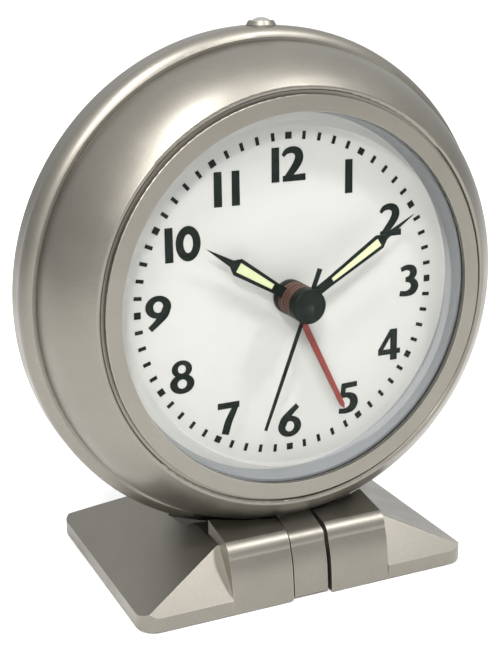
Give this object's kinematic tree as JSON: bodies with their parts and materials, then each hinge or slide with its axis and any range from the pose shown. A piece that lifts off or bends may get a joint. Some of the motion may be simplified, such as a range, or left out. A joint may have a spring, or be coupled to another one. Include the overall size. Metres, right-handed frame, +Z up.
{
  "type": "travel alarm clock",
  "caption": "Round satin-metal bedside alarm clock on a hipped rectangular foot, with a tilting drum case, domed lens, white dial, hands, rear setting knobs and a top push button.",
  "frame": {"origin": "on the table, under the middle of the clock's overall width and depth", "axes": "+Z up, -Y the way the dial faces, +X to the viewer's right"},
  "size_m": [0.0882, 0.0472, 0.0973],
  "materials": {
    "nickel": "satin",
    "steel": "satin",
    "rubber": "matt",
    "lens": "clear",
    "rehaut_grey": "satin",
    "black_plastic": "fine texture",
    "dial_paint": "matt",
    "grey_plastic": "moulded",
    "copper": "enamelled",
    "board": "solder mask",
    "brass": "rolled",
    "cell": "gloss sleeve",
    "white_plastic": "moulded",
    "red_paint": "satin",
    "black_paint": "satin",
    "lume": "matt",
    "magnet": "plain",
    "chrome": "polished"
  },
  "bodies": {
    "base": {"base_shell": "nickel", "base_bottom_plate": "steel", "base_plate_screws": "steel", "hinge_pin": "steel", "hinge_washers": "steel", "base_feet": "rubber"},
    "case": {"hinge_tongue": "nickel", "front_shell": "nickel", "bezel_ring": "nickel", "rear_ring": "nickel", "button_collar": "nickel", "tongue_screws": "steel", "case_screws": "steel", "coil_core": "steel", "stator": "steel", "quartz_can": "steel", "contact_positive": "steel", "contact_negative": "steel", "button_spring": "steel", "crystal": "lens", "crystal_gasket": "rubber", "rehaut_ring": "rehaut_grey", "back_cover": "black_plastic", "center_washer": "black_plastic", "chip_blob": "black_plastic", "button_switch": "black_plastic", "dial_plate": "dial_paint", "dial_carrier": "grey_plastic", "movement_front_case": "grey_plastic", "movement_rear_case": "grey_plastic", "train_bridge": "grey_plastic", "coil_bobbin": "grey_plastic", "coil_winding": "copper", "circuit_board": "board", "switch_board": "board", "buzzer_disc": "brass", "battery_cell": "cell"},
    "door": {"battery_door": "black_plastic"},
    "alarm_indicator": {"alarm_wheel": "white_plastic", "alarm_hand": "red_paint"},
    "hours": {"hour_wheel": "white_plastic", "hour_hand": "black_paint", "hour_hand_lume": "lume"},
    "minutes": {"minute_wheel": "white_plastic", "minute_hand": "black_paint", "minute_hand_lume": "lume"},
    "seconds": {"second_wheel": "white_plastic", "second_hand": "black_paint", "hub_cap": "black_paint"},
    "third_arbor": {"third_wheel": "white_plastic"},
    "intermediate_arbor": {"intermediate_wheel": "white_plastic"},
    "rotor": {"rotor_arbor": "white_plastic", "rotor_magnet": "magnet"},
    "time_setter": {"motion_wheel": "white_plastic", "time_set_knob": "black_plastic"},
    "alarm_setter": {"alarm_set_pinion": "white_plastic", "alarm_set_knob": "black_plastic"},
    "button": {"top_button": "chrome"},
    "slider": {"alarm_slider": "black_plastic"}
  },
  "joints": [
    {"name": "case_tilt", "type": "hinge", "parent": "base", "child": "case", "pos_m": [0, -0.017, 0.0078], "axis": [-1, 0, 0], "range_deg": [-3, 6]},
    {"name": "time_set_turn", "type": "hinge", "parent": "case", "child": "time_setter", "pos_m": [0.012, 0, 0.052], "axis": [0, 1, 0], "continuous": true},
    {"name": "minute_hand_turn", "type": "hinge", "parent": "case", "child": "minutes", "pos_m": [0, -0.014, 0.052], "axis": [0, 1, 0], "continuous": true},
    {"name": "hour_hand_turn", "type": "hinge", "parent": "case", "child": "hours", "pos_m": [0, -0.014, 0.052], "axis": [0, 1, 0], "continuous": true},
    {"name": "alarm_set_turn", "type": "hinge", "parent": "case", "child": "alarm_setter", "pos_m": [-0.012, 0, 0.052], "axis": [0, 1, 0], "continuous": true},
    {"name": "alarm_hand_turn", "type": "hinge", "parent": "case", "child": "alarm_indicator", "pos_m": [0, -0.014, 0.052], "axis": [0, 1, 0], "continuous": true},
    {"name": "second_hand_turn", "type": "hinge", "parent": "case", "child": "seconds", "pos_m": [0, -0.014, 0.052], "axis": [0, 1, 0], "continuous": true},
    {"name": "third_wheel_turn", "type": "hinge", "parent": "case", "child": "third_arbor", "pos_m": [0, -0.005, 0.0605], "axis": [0, 1, 0], "continuous": true},
    {"name": "intermediate_wheel_turn", "type": "hinge", "parent": "case", "child": "intermediate_arbor", "pos_m": [-0.00677, -0.003, 0.05446], "axis": [0, 1, 0], "continuous": true},
    {"name": "rotor_turn", "type": "hinge", "parent": "case", "child": "rotor", "pos_m": [-0.01037, -0.001, 0.05875], "axis": [0, 1, 0], "continuous": true},
    {"name": "top_button_press", "type": "slide", "parent": "case", "child": "button", "axis": [0, 0, -1], "range_m": [0, 0.0008], "stiffness_N_per_m": 500, "springref_m": -0.0008, "deforming": ["button_spring"]},
    {"name": "alarm_switch_slide", "type": "slide", "parent": "case", "child": "slider", "axis": [1, 0, 0], "range_m": [0, 0.004]},
    {"name": "battery_door_slide", "type": "slide", "parent": "case", "child": "door", "axis": [0, 0, -1], "range_m": [0, 0.006]}
  ],
  "couplings": [
    {"joint": "minute_hand_turn", "follows": "time_set_turn", "ratio": -3},
    {"joint": "hour_hand_turn", "follows": "time_set_turn", "ratio": -0.25},
    {"joint": "alarm_hand_turn", "follows": "alarm_set_turn", "ratio": -0.33333},
    {"joint": "third_wheel_turn", "follows": "second_hand_turn", "ratio": -0.13333},
    {"joint": "intermediate_wheel_turn", "follows": "second_hand_turn", "ratio": -5},
    {"joint": "rotor_turn", "follows": "second_hand_turn", "ratio": 30}
  ]
}
